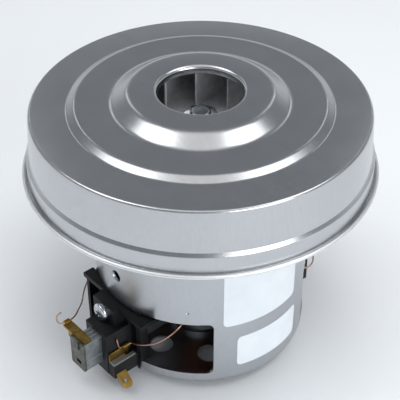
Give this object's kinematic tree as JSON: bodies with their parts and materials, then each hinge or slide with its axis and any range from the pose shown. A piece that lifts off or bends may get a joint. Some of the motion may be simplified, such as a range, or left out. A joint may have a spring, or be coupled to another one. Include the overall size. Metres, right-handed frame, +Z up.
{
  "type": "universal motor",
  "caption": "Vacuum cleaner universal motor: pressed steel fan cover over an enclosed impeller, windowed can, carbon brushes in side brackets with blade terminals.",
  "frame": {"origin": "middle of the rear boss's flat end, the lowest point of the motor", "axes": "+Z up along the shaft, towards the fan inlet; X through the two brushes"},
  "size_m": [0.1392, 0.1392, 0.118],
  "materials": {
    "cover_steel": "bright zinc-coated sheet, satin",
    "housing_steel": "zinc-coated sheet, satin",
    "can_steel": "bright zinc-coated sheet, satin",
    "diffuser_plastic": "moulded glass-filled plastic",
    "screw_steel": "bright zinc plate",
    "lamination_steel": "stacked steel laminations",
    "field_copper": "enamelled copper winding",
    "armature_copper": "enamelled copper winding",
    "commutator_copper": "turned copper",
    "insulator_plastic": "off-white moulded insulator",
    "bearing_steel": "ground bearing steel",
    "shield_steel": "pressed steel",
    "shaft_steel": "ground steel",
    "spring_steel": "spring wire",
    "impeller_aluminium": "rolled aluminium sheet",
    "brush_carbon": "carbon, matt",
    "tube_steel": "drawn steel with dull grey plate",
    "terminal_brass": "bright brass sheet",
    "clamp_steel": "pressed steel",
    "bracket_phenolic": "black phenolic moulding",
    "lead_copper": "enamelled copper wire",
    "label_film": "plain pale film, left blank"
  },
  "bodies": {
    "frame": {"fan_cover": "cover_steel", "fan_housing": "housing_steel", "diffuser": "diffuser_plastic", "housing_screws": "screw_steel", "motor_can": "can_steel", "stator_core": "lamination_steel", "field_coil_front": "field_copper", "field_coil_rear": "field_copper", "end_insulators": "insulator_plastic", "upper_bearing_outer_ring": "bearing_steel", "upper_bearing_shields": "shield_steel", "wave_washer": "shield_steel", "lower_bearing_seat": "housing_steel", "lower_bearing_outer_ring": "bearing_steel", "lower_bearing_shields": "shield_steel", "bracket_screws": "screw_steel", "rating_label": "label_film", "code_label": "label_film", "brush_tube_left": "tube_steel", "brush_end_plate_left": "tube_steel", "brush_spring_left": "spring_steel", "brush_bracket_left": "bracket_phenolic", "blade_terminal_left": "terminal_brass", "terminal_clamp_left": "clamp_steel", "tube_terminal_left": "terminal_brass", "tube_lead_left": "lead_copper", "blade_lead_left": "lead_copper", "brush_tube_right": "tube_steel", "brush_end_plate_right": "tube_steel", "brush_spring_right": "spring_steel", "brush_bracket_right": "bracket_phenolic", "blade_terminal_right": "terminal_brass", "terminal_clamp_right": "clamp_steel", "tube_terminal_right": "terminal_brass", "tube_lead_right": "lead_copper", "blade_lead_right": "lead_copper"},
    "rotor": {"shaft": "shaft_steel", "armature_core": "lamination_steel", "armature_winding": "armature_copper", "shaft_sleeves": "insulator_plastic", "commutator_segments": "commutator_copper", "commutator_hub": "bracket_phenolic", "upper_bearing_inner_ring": "bearing_steel", "upper_bearing_balls": "bearing_steel", "lower_bearing_inner_ring": "bearing_steel", "lower_bearing_balls": "bearing_steel", "impeller_back_plate": "impeller_aluminium", "impeller_front_plate": "impeller_aluminium", "impeller_blades": "impeller_aluminium", "impeller_hub": "impeller_aluminium", "impeller_spacer": "shaft_steel", "impeller_washer": "screw_steel", "impeller_nut": "screw_steel"},
    "brush_left": {"carbon_brush_left": "brush_carbon"},
    "brush_right": {"carbon_brush_right": "brush_carbon"}
  },
  "joints": [
    {"name": "shaft_spin", "type": "hinge", "parent": "frame", "child": "rotor", "pos_m": [0, 0, 0.0047], "axis": [0, 0, 1], "continuous": true},
    {"name": "brush_slide_left", "type": "slide", "parent": "frame", "child": "brush_left", "axis": [-1, 0, 0], "range_m": [0, 0.006], "stiffness_N_per_m": 250, "springref_m": -0.012, "deforming": ["brush_spring_left"]},
    {"name": "brush_slide_right", "type": "slide", "parent": "frame", "child": "brush_right", "axis": [1, 0, 0], "range_m": [0, 0.006], "stiffness_N_per_m": 250, "springref_m": -0.012, "deforming": ["brush_spring_right"]}
  ]
}
